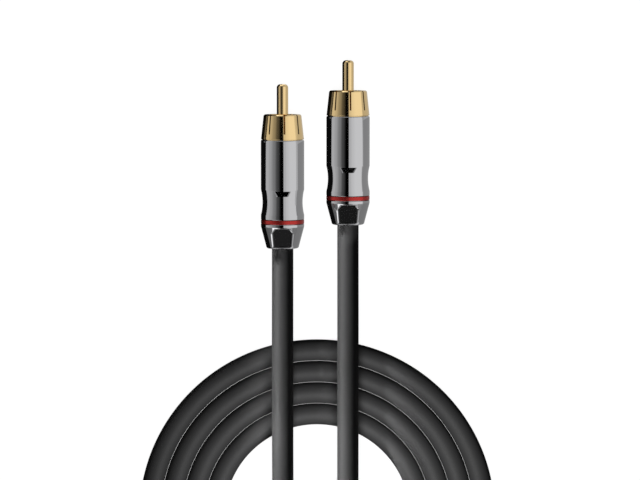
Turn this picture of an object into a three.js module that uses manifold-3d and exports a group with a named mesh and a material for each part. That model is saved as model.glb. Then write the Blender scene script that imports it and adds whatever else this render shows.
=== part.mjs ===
// Audio interconnect cable: one round cable with a phono plug on each end, lying coiled on a table.
// Millimetres, +Z up, table at z = 0. The two plugs lie side by side with their pins towards +Y.
import * as THREE from 'three';
import { mergeVertices } from 'three/addons/utils/BufferGeometryUtils.js';
import Module from 'manifold-3d';

const wasm = await Module();
wasm.setup();

// Clearances
const FIT_GAP = 0.15;            // play between turned pieces that slide or screw into each other
const CABLE_PLAY = 0.15;         // play round the cable in every hole it passes through
const SEAM_GAP = 0.05;           // seam between the faces that are screwed together outside
const CORE_GAP = 0.1;            // play between the layers of the stripped cable
const CORD_GAP = 0.3;            // gap between the cord's own solids, and above the coil

// Cable
const CABLE_DIAMETER = 5.9;
const CONDUCTOR_RADIUS = 0.5;
const DIELECTRIC_RADIUS = 1.6;
const BRAID_WALL = 0.35;
const JACKET_PAST_CLAMP = 0.4;
const BRAID_LENGTH = 1.5;
const BARE_CONDUCTOR = 0.45;      // between the dielectric and the pin's solder cup

// Collet that grips the cable inside the tail nut
const COLLET_WALL = 1.1;
const COLLET_FLANGE_LENGTH = 1.0;
const COLLET_NOSE_SETBACK = 1.0;
const COLLET_SLOT_COUNT = 4;
const COLLET_SLOT_WIDTH = 0.5;
const COLLET_SLOT_LENGTH = 5.0;

// Tail nut with a pair of wrench flats
const TAIL_LIP_LENGTH = 0.6;
const TAIL_LIP_DROP = 0.6;
const TAIL_CONE_LENGTH = 5.4;
const TAIL_CONE_DROP = 1.6;
const TAIL_LAND_LENGTH = 0.75;
const THROAT_LENGTH = 1.8;
const SEAT_STEP = 0.25;
const SEAT_LENGTH = 4.4;
const SPIGOT_WALL = 0.55;
const SPIGOT_ENGAGEMENT = 2.2;
const FLAT_COUNT = 2;
const FLAT_DEPTH = 0.75;
const FLAT_REAR_MARGIN = 0.15;
const FLAT_FRONT_MARGIN = 0.5;
const FLAT_TOP_WIDTH = 3.3;
const FLAT_CORNER_RUN = 1.25;
const FLAT_CORNER_RISE = 0.85;

// Colour ring
const RING_WIDTH = 1.2;

// Barrel shell
const BARREL_WALL = 0.9;
const BARREL_EDGE = 0.12;
const REAR_LAND_LENGTH = 1.25;
const WAIST_LENGTH = 7.2;
const WAIST_DEPTH = 0.48;
const WAIST_WALL = 0.82;
const BARREL_STRAIGHT_LENGTH = 13.4;
const SHOULDER_THICKNESS = 1.0;
const FRONT_WALL = 1.0;
const THREAD_RELIEF = 0.3;
const NOTCH_TOP_WIDTH = 4.1;
const NOTCH_BOTTOM_WIDTH = 2.6;
const NOTCH_LENGTH = 1.45;
const NOTCH_SETBACK = 0.55;
const NOTCH_DEPTH = 0.85;

// Ground collar with the slit skirt
const COLLAR_LENGTH = 7.0;
const COLLAR_BORE_RADIUS = 4.15;
const RIM_WALL = 1.05;
const RIM_EDGE = 0.2;
const COLLAR_STEP = 0.05;
const GROOVE_WIDTH = 0.15;
const GROOVE_DEPTH = 0.35;
const SOCKET_DEPTH = 6.4;
const SLIT_COUNT = 8;
const SLIT_WIDTH = 0.36;
const SLIT_LENGTH = 5.3;
const SLIT_PHASE = THREE.MathUtils.degToRad(6.5);
const THREAD_LENGTH = 5.0;
const TRAY_LENGTH = 8.3;
const CLAMP_RING_LENGTH = 1.4;
const WINDOW_FRONT_MARGIN = 0.6;
const WINDOW_LEVEL = -0.6;

// Pin and its insulator
const PIN_RADIUS = 1.575;
const PIN_REACH = 8.3;
const PIN_TIP_ROUND = 0.95;
const PIN_SHOULDER_STEP = 0.45;
const PIN_SHOULDER_LENGTH = 0.8;
const CUP_LENGTH = 2.6;
const CUP_WALL = 0.35;
const CUP_BORE_RADIUS = 0.95;
const CUP_DEPTH = 2.0;
const CUP_OPEN_LEVEL = 0.2;
const INSULATOR_WALL = 1.6;
const INSULATOR_FLANGE = 1.0;

// Insulating sleeve and solder
const SLEEVE_WALL = 0.3;
const SIGNAL_SOLDER_LENGTH = 1.0;
const GROUND_SOLDER_HALF_WIDTH = 0.9;
const GROUND_SOLDER_HALF_LENGTH = 0.6;

// Where the plugs lie, and the coil
const PLUG_SPACING = 18.0;
const PLUG_STAGGER = 6.55;
const COIL_TURNS = 4;
const COIL_INNER_RADIUS = 25.8;
const TURN_GAP = 0.05;
const COIL_CENTRE = new THREE.Vector2(0.5, -101);

// Fineness of the round surfaces
const OUTER_SEGMENTS = 32;
const INNER_SEGMENTS = 24;
const WAIST_ARC_STEPS = 6;
const ROUND_STEPS = 3;
const CORD_SIDES = 12;
const CORD_STEP_LENGTH = 6;
const COIL_SEGMENTS = 48;
const COIL_EDGE_STEPS = 4;
const CUT_MARGIN = 1;            // how far a cutting solid reaches past what it cuts

// Radii, worked out from the cable outwards
const cableRadius = CABLE_DIAMETER / 2;
const cableBore = cableRadius + CABLE_PLAY;
const colletRadius = cableBore + COLLET_WALL;
const spigotBore = colletRadius + FIT_GAP;
const spigotRadius = spigotBore + SPIGOT_WALL;
const rearBore = spigotRadius + FIT_GAP;
const barrelRadius = rearBore + BARREL_WALL;
const chamberBore = barrelRadius - WAIST_DEPTH - WAIST_WALL;
const frontBore = barrelRadius - FRONT_WALL;
const threadRadius = frontBore - FIT_GAP;
const sleeveRadius = chamberBore - FIT_GAP;
const trayRadius = sleeveRadius - SLEEVE_WALL - FIT_GAP;
const collarRearRadius = barrelRadius - COLLAR_STEP;
const rimRadius = COLLAR_BORE_RADIUS + RIM_WALL;
const coneRearRadius = barrelRadius - TAIL_CONE_DROP;

// Radii, worked out from the pin outwards
const pinBore = PIN_RADIUS + CORE_GAP;
const insulatorRadius = pinBore + INSULATOR_WALL;
const seatBore = insulatorRadius + FIT_GAP;
const cupRadius = CUP_BORE_RADIUS + CUP_WALL;
const braidBore = DIELECTRIC_RADIUS + CORE_GAP;
const braidRadius = braidBore + BRAID_WALL;

// Stations along a plug, from the rear of the tail nut at 0 to the tip of the pin
const coneRear = TAIL_LIP_LENGTH;
const coneFront = coneRear + TAIL_CONE_LENGTH;
const ringRear = coneFront + TAIL_LAND_LENGTH;
const ringFront = ringRear + RING_WIDTH;
const waistRear = ringFront + REAR_LAND_LENGTH;
const waistFront = waistRear + WAIST_LENGTH;
const barrelFront = waistFront + BARREL_STRAIGHT_LENGTH;
const collarFront = barrelFront + COLLAR_LENGTH;
const pinTip = collarFront + PIN_REACH;
const seatFront = THROAT_LENGTH + SEAT_LENGTH;
const spigotFront = ringFront + SPIGOT_ENGAGEMENT;
const colletFlangeRear = spigotFront + FIT_GAP;
const colletFront = colletFlangeRear + COLLET_FLANGE_LENGTH;
const shoulderRear = colletFront + FIT_GAP;
const shoulderFront = shoulderRear + SHOULDER_THICKNESS;
const threadRear = barrelFront - THREAD_LENGTH;
const trayRear = threadRear - TRAY_LENGTH;
const clampFront = trayRear + CLAMP_RING_LENGTH;
const socketFloor = collarFront - SOCKET_DEPTH;
const jacketEnd = clampFront + JACKET_PAST_CLAMP;
const coreRear = jacketEnd + CORD_GAP;
const pinShoulderFront = threadRear - FIT_GAP;
const pinShoulderRear = pinShoulderFront - PIN_SHOULDER_LENGTH;
const cupRear = pinShoulderRear - CUP_LENGTH;
const cupFloor = cupRear + CUP_DEPTH;

// Places in the shared frame
const plugHeight = barrelRadius;
const plugStations = {
  left: new THREE.Vector3(-PLUG_SPACING / 2, -(pinTip + PLUG_STAGGER) / 2, plugHeight),
  right: new THREE.Vector3(PLUG_SPACING / 2, -(pinTip - PLUG_STAGGER) / 2, plugHeight),
};
const cordOverCoil = CABLE_DIAMETER + CORD_GAP + cableRadius;

const MATERIALS = {
  gold: { color: 0xd9b878, roughness: 0.2, metalness: 1 },
  gunmetal: { color: 0x8f8f92, roughness: 0.12, metalness: 1 },
  red: { color: 0xaf2f2c, roughness: 0.35, metalness: 0.2 },
  jacket: { color: 0x3a3a3c, roughness: 0.6, metalness: 0 },
  insulator: { color: 0xe8e6df, roughness: 0.5, metalness: 0 },
  collet: { color: 0x24262a, roughness: 0.55, metalness: 0 },
  sleeve: { color: 0xb8c4cc, roughness: 0.4, metalness: 0 },
  copper: { color: 0xc07a4a, roughness: 0.3, metalness: 1 },
  tin: { color: 0xb9bcc0, roughness: 0.35, metalness: 1 },
};

function makeMesh(name, geometry, finish) {
  const mesh = new THREE.Mesh(geometry, new THREE.MeshStandardMaterial(MATERIALS[finish]));
  mesh.name = name;
  return mesh;
}

// Solids for cutting and joining
function toSolid(geometry) {
  const plain = geometry.clone();
  plain.deleteAttribute('normal');
  plain.deleteAttribute('uv');
  const merged = mergeVertices(plain);
  const corners = Array.from(merged.index.array);
  const kept = [];
  for (let i = 0; i < corners.length; i += 3) {
    const [a, b, c] = corners.slice(i, i + 3);
    if (a !== b && b !== c && c !== a) kept.push(a, b, c);
  }
  return new wasm.Manifold(new wasm.Mesh({
    numProp: 3,
    vertProperties: new Float32Array(merged.attributes.position.array),
    triVerts: new Uint32Array(kept),
  }));
}

function toGeometry(solid) {
  const mesh = solid.getMesh();
  const geometry = new THREE.BufferGeometry();
  geometry.setAttribute('position', new THREE.BufferAttribute(mesh.vertProperties, 3));
  geometry.setIndex(new THREE.BufferAttribute(mesh.triVerts, 1));
  geometry.computeVertexNormals();
  return geometry;
}

function cutAway(geometry, cutters) {
  let solid = toSolid(geometry);
  for (const cutter of cutters) solid = solid.subtract(toSolid(cutter));
  return toGeometry(solid);
}

// A body turned round the plug's axis. The profile runs up the outside and down the bore.
function turned(profile, segments = OUTER_SEGMENTS) {
  return new THREE.LatheGeometry(profile.map(([r, y]) => new THREE.Vector2(r, y)), segments);
}

function turnedRing(profile, segments = OUTER_SEGMENTS) {
  return turned([...profile, profile[0]], segments);
}

// A block between two corners
function block(low, high) {
  const size = new THREE.Vector3().subVectors(high, low);
  const middle = new THREE.Vector3().addVectors(low, high).multiplyScalar(0.5);
  return new THREE.BoxGeometry(size.x, size.y, size.z).translate(middle.x, middle.y, middle.z);
}

// Points on an arc about a centre, both ends included
function arcPoints(centreR, centreY, radius, fromAngle, toAngle, steps) {
  return Array.from({ length: steps + 1 }, (_, i) => {
    const angle = THREE.MathUtils.lerp(fromAngle, toAngle, i / steps);
    return [centreR + radius * Math.cos(angle), centreY + radius * Math.sin(angle)];
  });
}

// The waist is one arc between its two edges, deepest in the middle
function waistArc() {
  const half = WAIST_LENGTH / 2;
  const radius = (half * half + WAIST_DEPTH * WAIST_DEPTH) / (2 * WAIST_DEPTH);
  const span = Math.asin(half / radius);
  const centreR = barrelRadius - WAIST_DEPTH + radius;
  const centreY = waistRear + half;
  return arcPoints(centreR, centreY, radius, Math.PI + span, Math.PI - span, WAIST_ARC_STEPS);
}

// A shallow trapezoid sunk in the front edge of the waist, with a flat floor
function waistNotch() {
  const wide = NOTCH_TOP_WIDTH / 2;
  const narrow = NOTCH_BOTTOM_WIDTH / 2;
  const front = waistFront - NOTCH_SETBACK;
  const rear = front - NOTCH_LENGTH;
  const outline = new THREE.Shape([
    new THREE.Vector2(-narrow, rear),
    new THREE.Vector2(narrow, rear),
    new THREE.Vector2(wide, front),
    new THREE.Vector2(-wide, front),
  ]);
  const depth = NOTCH_DEPTH + CUT_MARGIN;
  const cutter = new THREE.ExtrudeGeometry(outline, { depth, bevelEnabled: false });
  return cutter.translate(0, 0, barrelRadius - NOTCH_DEPTH);
}

function barrelShell() {
  const rear = ringFront + SEAM_GAP;
  const threadFloor = threadRear - THREAD_RELIEF;
  const body = turnedRing([
    [rearBore, rear],
    [barrelRadius - BARREL_EDGE, rear],
    [barrelRadius, rear + BARREL_EDGE],
    ...waistArc(),
    [barrelRadius, barrelFront - BARREL_EDGE],
    [barrelRadius - BARREL_EDGE, barrelFront],
    [frontBore, barrelFront],
    [frontBore, threadFloor],
    [chamberBore, threadFloor],
    [chamberBore, shoulderFront],
    [cableBore + CABLE_PLAY, shoulderFront],
    [cableBore + CABLE_PLAY, shoulderRear],
    [rearBore, shoulderRear],
  ]);
  return cutAway(body, [waistNotch()]);
}

function colourRing() {
  const rear = ringRear + SEAM_GAP;
  const front = ringFront - SEAM_GAP;
  return turnedRing([
    [rearBore, rear],
    [barrelRadius, rear],
    [barrelRadius, front],
    [rearBore, front],
  ]);
}

// Saw slits through the skirt, open at the rim
function skirtSlits() {
  return Array.from({ length: SLIT_COUNT }, (_, i) => {
    const slit = block(
      new THREE.Vector3(-SLIT_WIDTH / 2, collarFront - SLIT_LENGTH, 0),
      new THREE.Vector3(SLIT_WIDTH / 2, collarFront + CUT_MARGIN, barrelRadius + CUT_MARGIN),
    );
    return slit.rotateY(SLIT_PHASE + (i * 2 * Math.PI) / SLIT_COUNT);
  });
}

// The open side of the rear tray, through which the joints are soldered
function solderWindow() {
  const reach = trayRadius + CUT_MARGIN;
  return block(
    new THREE.Vector3(-reach, clampFront, WINDOW_LEVEL),
    new THREE.Vector3(reach, threadRear - WINDOW_FRONT_MARGIN, reach),
  );
}

function groundCollar() {
  const flangeRear = barrelFront + SEAM_GAP;
  const grooveFront = flangeRear + GROOVE_WIDTH;
  const body = turnedRing([
    [seatBore, trayRear],
    [trayRadius, trayRear],
    [trayRadius, threadRear],
    [threadRadius, threadRear],
    [threadRadius, flangeRear],
    [collarRearRadius - GROOVE_DEPTH, flangeRear],
    [collarRearRadius - GROOVE_DEPTH, grooveFront],
    [collarRearRadius, grooveFront],
    [rimRadius, collarFront - RIM_EDGE],
    [rimRadius - RIM_EDGE, collarFront],
    [COLLAR_BORE_RADIUS, collarFront],
    [COLLAR_BORE_RADIUS, socketFloor],
    [seatBore, socketFloor],
  ]);
  return cutAway(body, [...skirtSlits(), solderWindow()]);
}

function pinInsulator() {
  const flangeRear = socketFloor + FIT_GAP;
  const flangeFront = flangeRear + INSULATOR_FLANGE;
  return turnedRing([
    [pinBore, threadRear],
    [insulatorRadius, threadRear],
    [insulatorRadius, flangeRear],
    [COLLAR_BORE_RADIUS - FIT_GAP, flangeRear],
    [COLLAR_BORE_RADIUS - FIT_GAP, flangeFront],
    [pinBore, flangeFront],
  ], INNER_SEGMENTS);
}

// The pin: rounded tip, shoulder behind the insulator, and a solder cup cut open on top
function centrePin() {
  const shoulderRadius = PIN_RADIUS + PIN_SHOULDER_STEP;
  const tipRound = arcPoints(
    PIN_RADIUS - PIN_TIP_ROUND, pinTip - PIN_TIP_ROUND, PIN_TIP_ROUND, 0, Math.PI / 2, ROUND_STEPS,
  );
  const body = turned([
    [0, cupFloor],
    [CUP_BORE_RADIUS, cupFloor],
    [CUP_BORE_RADIUS, cupRear],
    [cupRadius, cupRear],
    [cupRadius, pinShoulderRear],
    [shoulderRadius, pinShoulderRear],
    [shoulderRadius, pinShoulderFront],
    [PIN_RADIUS, pinShoulderFront],
    ...tipRound,
    [0, pinTip],
  ], INNER_SEGMENTS);
  const reach = cupRadius + CUT_MARGIN;
  const opening = block(
    new THREE.Vector3(-reach, cupRear - CUT_MARGIN, CUP_OPEN_LEVEL),
    new THREE.Vector3(reach, cupFloor, reach),
  );
  return cutAway(body, [opening]);
}

// One wrench flat: sunk parallel to the cone, with its front corners cut off
function wrenchFlat(turn) {
  const slope = Math.atan2(TAIL_CONE_DROP, TAIL_CONE_LENGTH);
  const run = Math.hypot(TAIL_CONE_DROP, TAIL_CONE_LENGTH);
  const wide = barrelRadius;
  const top = FLAT_TOP_WIDTH / 2;
  const rear = FLAT_REAR_MARGIN;
  const front = run - FLAT_FRONT_MARGIN;
  const side = front - (FLAT_CORNER_RISE * (wide - top)) / FLAT_CORNER_RUN;
  const outline = new THREE.Shape([
    new THREE.Vector2(-wide, rear),
    new THREE.Vector2(wide, rear),
    new THREE.Vector2(wide, side),
    new THREE.Vector2(top, front),
    new THREE.Vector2(-top, front),
    new THREE.Vector2(-wide, side),
  ]);
  const depth = FLAT_DEPTH + CUT_MARGIN + barrelRadius;
  const cutter = new THREE.ExtrudeGeometry(outline, { depth, bevelEnabled: false });
  cutter.translate(0, 0, -FLAT_DEPTH).rotateX(slope).translate(0, coneRear, coneRearRadius);
  return cutter.rotateY(turn);
}

function tailNut() {
  const seatRear = cableBore + SEAT_STEP;
  const lip = arcPoints(
    coneRearRadius - TAIL_LIP_DROP, coneRear, TAIL_LIP_DROP, -Math.PI / 2, 0, ROUND_STEPS,
  ).map(([r, y]) => [r, coneRear + ((y - coneRear) * TAIL_LIP_LENGTH) / TAIL_LIP_DROP]);
  const body = turnedRing([
    [cableBore, 0],
    ...lip,
    [barrelRadius, coneFront],
    [barrelRadius, ringRear - SEAM_GAP],
    [spigotRadius, ringRear - SEAM_GAP],
    [spigotRadius, spigotFront],
    [spigotBore, spigotFront],
    [spigotBore, seatFront],
    [seatRear, THROAT_LENGTH],
    [cableBore, THROAT_LENGTH],
  ]);
  const turns = Array.from({ length: FLAT_COUNT }, (_, i) => (i * 2 * Math.PI) / FLAT_COUNT);
  return cutAway(body, turns.map(wrenchFlat));
}

// The collet: a cone that the nut squeezes, slotted from its nose
function cableCollet() {
  const seatSlope = (spigotBore - cableBore - SEAT_STEP) / SEAT_LENGTH;
  const nose = THROAT_LENGTH + COLLET_NOSE_SETBACK;
  const noseRadius = cableBore + SEAT_STEP + COLLET_NOSE_SETBACK * seatSlope - FIT_GAP;
  const body = turnedRing([
    [cableBore, nose],
    [noseRadius, nose],
    [colletRadius, seatFront],
    [colletRadius, colletFlangeRear],
    [rearBore - FIT_GAP, colletFlangeRear],
    [rearBore - FIT_GAP, colletFront],
    [cableBore, colletFront],
  ]);
  const slots = Array.from({ length: COLLET_SLOT_COUNT }, (_, i) => {
    const slot = block(
      new THREE.Vector3(-COLLET_SLOT_WIDTH / 2, nose - CUT_MARGIN, 0),
      new THREE.Vector3(COLLET_SLOT_WIDTH / 2, nose + COLLET_SLOT_LENGTH, rearBore),
    );
    return slot.rotateY(((i + 0.5) * 2 * Math.PI) / COLLET_SLOT_COUNT);
  });
  return cutAway(body, slots);
}

// A plain tube between two radii and two stations
function sleeve(bore, radius, rear, front) {
  return turnedRing([[bore, rear], [radius, rear], [radius, front], [bore, front]], INNER_SEGMENTS);
}

function insulatingSleeve() {
  const front = threadRear - THREAD_RELIEF - FIT_GAP;
  return sleeve(sleeveRadius - SLEEVE_WALL, sleeveRadius, shoulderFront + FIT_GAP, front);
}

function signalConductor() {
  const front = cupFloor - FIT_GAP;
  return turned([
    [0, coreRear], [CONDUCTOR_RADIUS, coreRear], [CONDUCTOR_RADIUS, front], [0, front],
  ], INNER_SEGMENTS);
}

function conductorDielectric() {
  const bore = CONDUCTOR_RADIUS + CORE_GAP;
  return sleeve(bore, DIELECTRIC_RADIUS, coreRear, cupRear - BARE_CONDUCTOR);
}

function shieldBraid() {
  return sleeve(braidBore, braidRadius, coreRear, coreRear + BRAID_LENGTH);
}

function signalSolder() {
  const rear = cupRear + FIT_GAP;
  const bore = CONDUCTOR_RADIUS + CORE_GAP;
  return sleeve(bore, CUP_BORE_RADIUS - CORE_GAP, rear, rear + SIGNAL_SOLDER_LENGTH);
}

// A lump of solder between the braid and the floor of the tray
function groundSolder() {
  const trayFloor = seatBore * Math.cos(Math.PI / OUTER_SEGMENTS);
  const halfHeight = (trayFloor - braidRadius) / 2 - CORE_GAP;
  const lump = new THREE.SphereGeometry(1, INNER_SEGMENTS / 2, INNER_SEGMENTS / 3);
  lump.scale(GROUND_SOLDER_HALF_WIDTH, GROUND_SOLDER_HALF_LENGTH, halfHeight);
  const middle = coreRear + BRAID_LENGTH / 2;
  return lump.translate(0, middle, -(trayFloor + braidRadius) / 2);
}

const PLUG_PIECES = [
  ['center_pin', centrePin, 'gold'],
  ['pin_insulator', pinInsulator, 'insulator'],
  ['ground_collar', groundCollar, 'gold'],
  ['barrel_shell', barrelShell, 'gunmetal'],
  ['colour_ring', colourRing, 'red'],
  ['tail_nut', tailNut, 'gunmetal'],
  ['cable_collet', cableCollet, 'collet'],
  ['insulating_sleeve', insulatingSleeve, 'sleeve'],
  ['signal_conductor', signalConductor, 'copper'],
  ['conductor_dielectric', conductorDielectric, 'insulator'],
  ['shield_braid', shieldBraid, 'tin'],
  ['signal_solder', signalSolder, 'tin'],
  ['ground_solder', groundSolder, 'tin'],
];

function makePlug(side) {
  const plug = new THREE.Group();
  for (const [name, build, finish] of PLUG_PIECES) {
    plug.add(makeMesh(`${side}_${name}`, build(), finish));
  }
  plug.position.copy(plugStations[side]);
  return plug;
}

// Tube along a route through points chosen by hand
function cordTube(route) {
  const path = new THREE.CatmullRomCurve3(route, false, 'centripetal');
  const section = new THREE.Shape(Array.from({ length: CORD_SIDES }, (_, i) => {
    const angle = (i * 2 * Math.PI) / CORD_SIDES;
    return new THREE.Vector2(cableRadius * Math.cos(angle), cableRadius * Math.sin(angle));
  }));
  const steps = Math.round(path.getLength() / CORD_STEP_LENGTH);
  return new THREE.ExtrudeGeometry(section, { steps, extrudePath: path });
}

// The straight stretch inside a plug and just behind it
function routeInPlug(side) {
  const { x, y, z } = plugStations[side];
  return [jacketEnd, jacketEnd / 2, 0, -CABLE_DIAMETER / 2, -CABLE_DIAMETER]
    .map((station) => new THREE.Vector3(x, y + station, z));
}

// The left lead runs over the coil, down to the table in its middle, and into the innermost turn
function leftRoute() {
  const { x } = plugStations.left;
  const top = cordOverCoil;
  return [
    ...routeInPlug('left'),
    new THREE.Vector3(x, -40, 7.0),
    new THREE.Vector3(x, -48, 8.8),
    new THREE.Vector3(x, -54, top),
    new THREE.Vector3(x, -62, top),
    new THREE.Vector3(x, -70, top),
    new THREE.Vector3(x, -77, top),
    new THREE.Vector3(x, -84, 8.2),
    new THREE.Vector3(x, -91, 6.2),
    new THREE.Vector3(x, -98, 4.1),
    new THREE.Vector3(x, -104, 3.05),
    new THREE.Vector3(-7.3, -111.6, 3.0),
    new THREE.Vector3(-2.6, -117.8, 3.0),
    new THREE.Vector3(4.3, -121.4, 3.0),
    new THREE.Vector3(8.2, -122.0, 3.0),
  ];
}

// The right lead stays on top and swings left across the coil's near side, towards its outer turn
function rightRoute() {
  const { x } = plugStations.right;
  const top = cordOverCoil;
  return [
    ...routeInPlug('right'),
    new THREE.Vector3(x, -33, 6.9),
    new THREE.Vector3(x, -41, 8.5),
    new THREE.Vector3(x, -48, top),
    new THREE.Vector3(x, -60, top),
    new THREE.Vector3(x, -75, top),
    new THREE.Vector3(x, -90, top),
    new THREE.Vector3(x, -104, top),
    new THREE.Vector3(x, -113.7, top),
    new THREE.Vector3(7.4, -122.8, top),
    new THREE.Vector3(2.8, -130.8, top),
    new THREE.Vector3(-4.3, -136.7, top),
    new THREE.Vector3(-13.0, -139.9, top),
    new THREE.Vector3(-16.7, -140.3, top),
  ];
}

// The outer shape of the coil: a flat ring with half-round edges, lying on the table
function coilRing() {
  const outer = COIL_INNER_RADIUS + COIL_TURNS * (CABLE_DIAMETER + TURN_GAP);
  const half = Math.PI / 2;
  const section = [
    ...arcPoints(outer - cableRadius, 0, cableRadius, -half, half, COIL_EDGE_STEPS),
    ...arcPoints(COIL_INNER_RADIUS + cableRadius, 0, cableRadius, half, 3 * half, COIL_EDGE_STEPS),
  ];
  const ring = turnedRing(section, COIL_SEGMENTS).rotateX(half);
  return ring.translate(COIL_CENTRE.x, COIL_CENTRE.y, cableRadius);
}

const cable = new THREE.Group();
cable.add(makePlug('left'), makePlug('right'));
cable.add(makeMesh('cable_lead_left', cordTube(leftRoute()), 'jacket'));
cable.add(makeMesh('cable_lead_right', cordTube(rightRoute()), 'jacket'));
cable.add(makeMesh('cable_coil', coilRing(), 'jacket'));

export default cable;
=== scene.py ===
import math

import bmesh
import bpy
from bpy.props import FloatProperty, FloatVectorProperty, IntProperty, PointerProperty
from mathutils import Matrix, Vector


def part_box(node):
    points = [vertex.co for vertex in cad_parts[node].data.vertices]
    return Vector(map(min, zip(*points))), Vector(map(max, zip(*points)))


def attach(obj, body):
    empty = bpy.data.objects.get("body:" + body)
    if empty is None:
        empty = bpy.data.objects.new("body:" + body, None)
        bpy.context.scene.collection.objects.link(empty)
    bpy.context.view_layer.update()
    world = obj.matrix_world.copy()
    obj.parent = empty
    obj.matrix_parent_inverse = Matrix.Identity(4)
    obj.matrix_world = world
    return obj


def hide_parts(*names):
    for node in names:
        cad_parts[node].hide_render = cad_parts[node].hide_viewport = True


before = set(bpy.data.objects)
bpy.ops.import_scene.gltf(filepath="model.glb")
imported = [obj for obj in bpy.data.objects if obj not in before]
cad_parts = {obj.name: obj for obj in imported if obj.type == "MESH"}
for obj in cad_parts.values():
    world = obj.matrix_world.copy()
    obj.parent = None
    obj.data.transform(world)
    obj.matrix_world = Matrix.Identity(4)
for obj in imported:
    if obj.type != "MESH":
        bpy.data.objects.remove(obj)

bl_info = {
    "name": "Coiled audio cable",
    "version": (1, 0, 0),
    "blender": (4, 5, 0),
    "location": "View3D > Sidebar > Audio Cable",
    "description": "Makes a coiled audio cable with a phono plug on each end, and its studio",
    "category": "Object",
}

# Everything is in metres. A station is a distance along a plug, from the rear of its tail nut.
MM = 0.001
MICRON = 0.001 * MM
SIDES = ("left", "right")
ROUND_SEGMENTS = 192
NUT_SEGMENTS = 384
FILLET_STEPS = 4
FILLET_SUPPORT = 0.03 * MM
FILLET_SHARE = 0.45  # of a side, at most
WELD_DISTANCE, SLIVER_DISTANCE = 1e-7, 1e-8
SHARP_ANGLE = math.radians(32)

# Stations and radii of a plug, from the tail nut to the tip of the pin
CONE_REAR, CONE_FRONT = 0.6 * MM, 6.0 * MM
FLAT_REAR, FLAT_FRONT, FLAT_WALL, FLAT_CORNER_SLOPE = 0.3 * MM, 5.6 * MM, 0.14 * MM, 1.6
RING_REAR, RING_FRONT = 6.75 * MM, 7.95 * MM
WAIST_REAR = 9.2 * MM
THREAD_REAR = 24.8 * MM
BARREL_FRONT = 29.8 * MM
SOCKET_FLOOR = 30.4 * MM
RIM, RIM_CHAMFER = 36.8 * MM, 0.3 * MM
PIN_TIP = 45.1 * MM
TRAY_REAR, CLAMP_FRONT, JACKET_END = 16.5 * MM, 17.9 * MM, 18.3 * MM
SEAM, PLAY, EDGE = 0.05 * MM, 0.15 * MM, 0.12 * MM
CABLE_BORE, REAR_BORE = 3.1 * MM, 5.05 * MM
SPIGOT_RADIUS, SPIGOT_BORE, SPIGOT_FRONT = 4.9 * MM, 4.35 * MM, 10.15 * MM
THREAD_RADIUS, FRONT_BORE = 4.8 * MM, 4.95 * MM
CHAMBER_BORE = 4.65 * MM
TRAY_RADIUS, SEAT_BORE = 4.05 * MM, 3.425 * MM
INSULATOR_RADIUS, INSULATOR_BORE = 3.275 * MM, 1.675 * MM
SHOULDER_REAR, SHOULDER_FRONT = 11.45 * MM, 12.45 * MM
CUP_REAR, CUP_FLOOR = 21.25 * MM, 23.25 * MM
PIN_SHOULDER_REAR, PIN_SHOULDER_FRONT = 23.85 * MM, 24.65 * MM


def plug_place(side):
    """Where the plug's axis meets the rear of its tail nut."""
    low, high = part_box(f"{side}_tail_nut")
    return Vector(((low.x + high.x) / 2, low.y, (low.z + high.z) / 2))


PLACES = {side: plug_place(side) for side in SIDES}
BARREL_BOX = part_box("left_barrel_shell")
COIL_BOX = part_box("cable_coil")


def setting(kind, **limits):
    """A maker of properties of one kind, from their name, description and default."""
    return lambda name, description, default, **more: kind(
        name=name, description=description, default=default, **limits, **more
    )


length = setting(FloatProperty, min=0.0, precision=5, unit="LENGTH")
watts = setting(FloatProperty, min=0.0, unit="POWER")
amount = setting(FloatProperty, min=0.0)
bearing = setting(FloatProperty, subtype="ANGLE")
number = setting(IntProperty)
colour = setting(FloatVectorProperty, subtype="COLOR", size=3, min=0.0, max=1.0)


class AUDIOCABLE_PG_plug(bpy.types.PropertyGroup):
    """Sizes of the phono plugs."""

    pin_radius: length("Pin radius", "Radius of the centre pin", 1.575 * MM)
    pin_tip_round: length("Pin tip round", "Radius of the rounding at the pin's tip", 0.95 * MM)
    collar_bore: length("Skirt bore", "Inner radius of the slit skirt", 4.15 * MM)
    rim_radius: length("Rim radius", "Outer radius of the skirt at its rim", 5.2 * MM)
    slit_count: number("Slits", "How many saw slits the skirt has", 8, min=0, max=24)
    slit_width: length("Slit width", "Width of each slit", 0.42 * MM)
    slit_length: length("Slit length", "How far the slits run in from the rim", 5.3 * MM)
    slit_phase: bearing("Slit phase", "Turn of the first slit from the top", math.radians(6.5))
    barrel_radius: length(
        "Barrel radius", "Outer radius of the barrel", (BARREL_BOX[1].x - BARREL_BOX[0].x) / 2
    )
    waist_length: length("Waist length", "Length of the barrel's waist", 7.0 * MM)
    waist_depth: length("Waist depth", "Depth of the waist in its middle", 0.44 * MM)
    notch_length: length("Notch length", "Length of the notch along the plug", 1.45 * MM)
    notch_width: length("Notch width", "Width of the notch at its front", 4.8 * MM)
    notch_taper: length("Notch taper", "How much narrower the notch is behind", 1.5 * MM)
    notch_depth: length("Notch depth", "Depth of the notch's floor", 0.85 * MM)
    flat_count: number("Flats", "How many wrench flats the tail nut has", 2, min=2, max=8)
    flat_depth: length("Flat depth", "Depth of the wrench flats", 0.84 * MM)
    flat_top_width: length("Flat top width", "Width of a flat's straight front edge", 4.3 * MM)
    flat_softness: length("Flat edge", "Rounding of the edges beside a flat", 0.45 * MM)


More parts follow.
